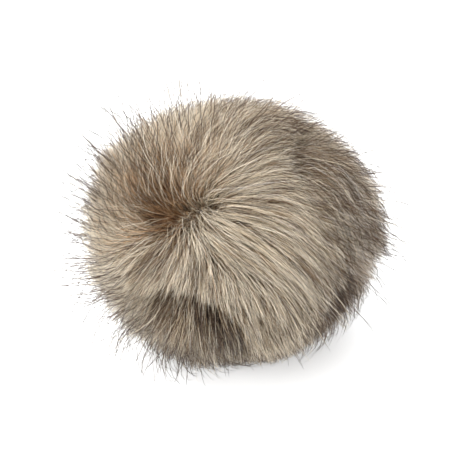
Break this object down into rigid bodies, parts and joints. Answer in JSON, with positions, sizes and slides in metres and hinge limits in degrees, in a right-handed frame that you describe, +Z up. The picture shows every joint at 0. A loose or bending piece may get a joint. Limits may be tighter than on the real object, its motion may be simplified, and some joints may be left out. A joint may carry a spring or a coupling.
{
  "type": "furry windscreen",
  "caption": "Ball-shaped fur windscreen: a gored long-pile cover with a bound elastic hem that slips over a foam core, which pushes onto a microphone head.",
  "frame": {"origin": "centre of the flat patch that the ball rests on, which is the middle of its box's underside", "axes": "+Z up as pictured; the crown, where the gores meet, leans towards -Y and the mouth points to +Y and down"},
  "size_m": [0.106, 0.106, 0.102],
  "materials": {
    "fur": "matte",
    "lining": "matte",
    "binding": "matte",
    "elastic": "matte",
    "foam": "matte"
  },
  "bodies": {
    "core": {"foam_core": "foam"},
    "cover": {"lining_gore_right": "lining", "lining_gore_upper": "lining", "lining_gore_left": "lining", "lining_gore_lower": "lining", "fur_gore_right": "fur", "fur_gore_upper": "fur", "fur_gore_left": "fur", "fur_gore_lower": "fur", "hem_binding": "binding", "hem_elastic": "elastic"}
  },
  "joints": [
    {"name": "cover_slide", "type": "slide", "parent": "core", "child": "cover", "axis": [0, -0.7431, 0.6691], "range_m": [0, 0.07]}
  ]
}
